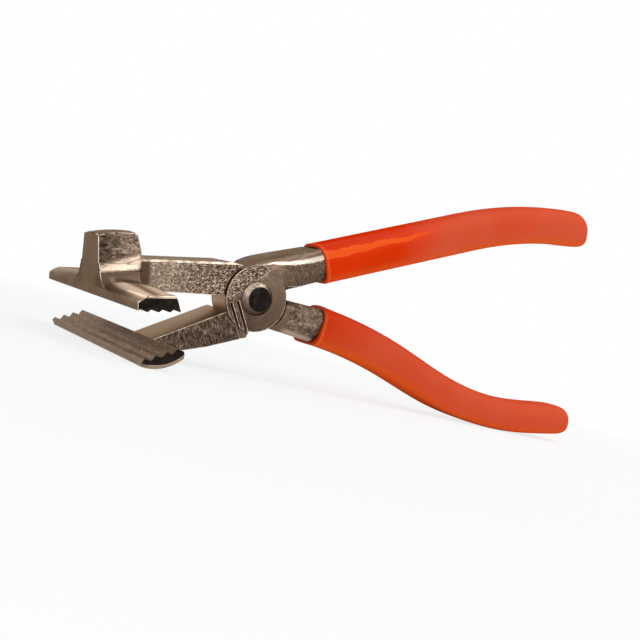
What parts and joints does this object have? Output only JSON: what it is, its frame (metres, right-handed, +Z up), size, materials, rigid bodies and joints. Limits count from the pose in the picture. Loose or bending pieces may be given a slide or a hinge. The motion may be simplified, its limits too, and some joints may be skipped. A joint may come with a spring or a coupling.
{
  "type": "canvas stretching pliers",
  "caption": "Canvas stretching pliers with wide toothed jaws, a hammer head on the upper jaw, a riveted lap joint and dipped handle grips.",
  "frame": {"origin": "on the ground under the middle of the tool's length, in the middle of the jaws' width; the ground touches the lower jaw's belly and the lower grip", "axes": "+Z up; +X from the jaws towards the handles; Y along the pivot rivet and the jaws' width, with -Y the side of the front lever's disc"},
  "size_m": [0.2042, 0.08, 0.087],
  "materials": {
    "plated_iron": "nickel plated over rough casting, faces ground satin",
    "rivet_steel": "dark ground ends",
    "dipped_vinyl": "semi-gloss dipped coat"
  },
  "bodies": {
    "front": {"front_lever": "plated_iron", "pivot_rivet": "rivet_steel", "upper_grip": "dipped_vinyl"},
    "rear": {"rear_lever": "plated_iron", "lower_grip": "dipped_vinyl"}
  },
  "joints": [
    {"name": "pivot", "type": "hinge", "parent": "front", "child": "rear", "pos_m": [-0.04922, 0, 0.02467], "axis": [0, 1, 0], "range_deg": [-15.1, 12]}
  ]
}
